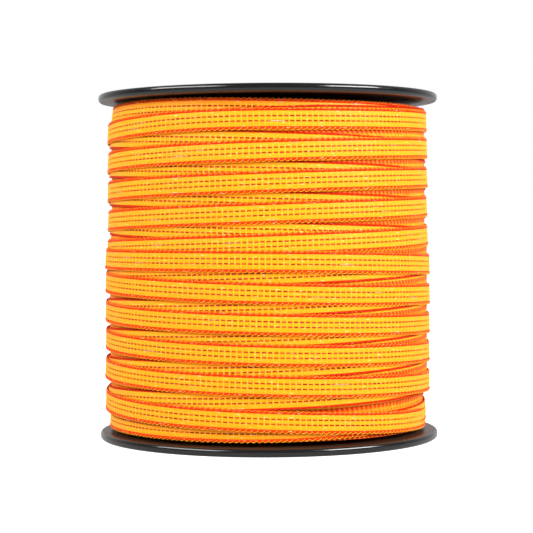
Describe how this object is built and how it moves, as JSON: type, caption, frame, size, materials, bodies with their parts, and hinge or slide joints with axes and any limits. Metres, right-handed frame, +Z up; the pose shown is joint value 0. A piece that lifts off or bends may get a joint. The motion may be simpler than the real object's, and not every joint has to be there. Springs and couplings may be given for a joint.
{
  "type": "electric fence tape",
  "caption": "Woven electric fence tape wound in crossing layers on a black plastic spool with two round flanges, standing upright.",
  "frame": {"origin": "middle of the bottom rim's underside, on the spool's axis", "axes": "+Z up along the spool's axis, -Y towards the viewer, +X to the viewer's right"},
  "size_m": [0.16, 0.16, 0.162],
  "materials": {
    "flange_plastic": "glossy black moulded plastic with faint scuffs",
    "core_plastic": "matt black moulded plastic",
    "woven_tape": "open-woven yellow plastic tape with red-orange edges and thin steel wires"
  },
  "bodies": {
    "root": {"flange_bottom": "flange_plastic", "flange_top": "flange_plastic", "core_tube": "core_plastic", "tape_roll": "woven_tape"}
  },
  "joints": []
}
